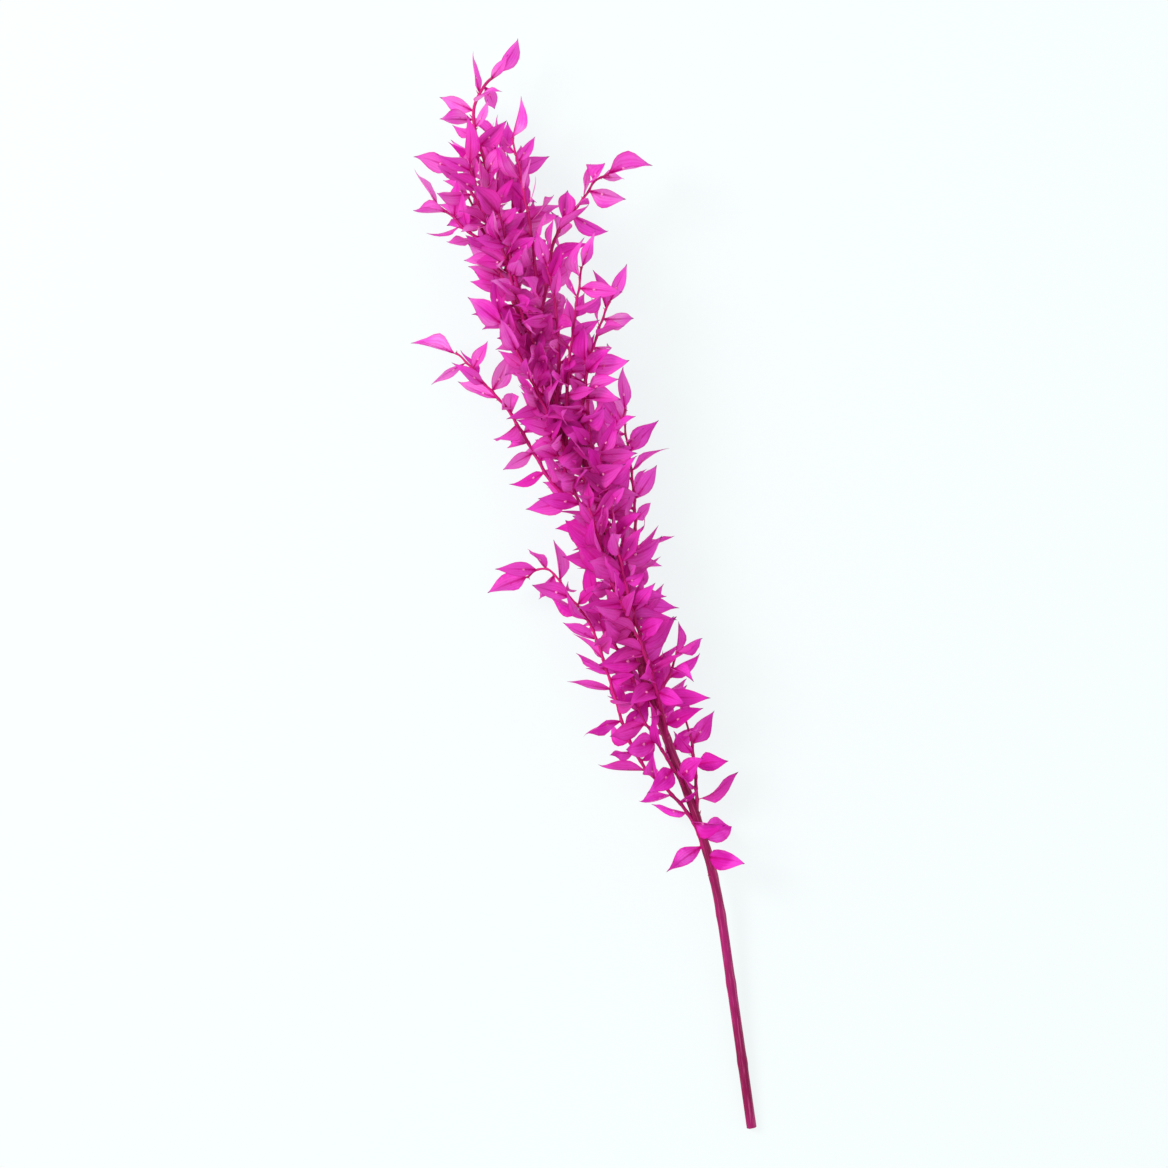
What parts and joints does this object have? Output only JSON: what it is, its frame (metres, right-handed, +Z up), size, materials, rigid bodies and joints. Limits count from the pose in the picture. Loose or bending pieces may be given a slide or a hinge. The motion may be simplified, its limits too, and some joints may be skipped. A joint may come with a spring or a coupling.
{
  "type": "dried ruscus stem",
  "caption": "One cut, dried and dyed stem for flower arranging: a bare woody stem with side shoots and pointed leaves, lying flat.",
  "frame": {"origin": "on the surface that the stem lies on, under the middle of its outline", "axes": "+Z up from the surface, +Y from the cut end towards the tip, +X to the right when the stem is seen from above with its tip away from the viewer"},
  "size_m": [0.2382, 0.7522, 0.0885],
  "materials": {
    "stem": "dyed bark, satin, finely ridged",
    "leaf": "dyed, dry and papery, lets light through",
    "bud": "dry scales, matte",
    "cut": "bare cut wood, matte"
  },
  "bodies": {
    "root": {"ruscus_stem": "stem"}
  },
  "joints": []
}
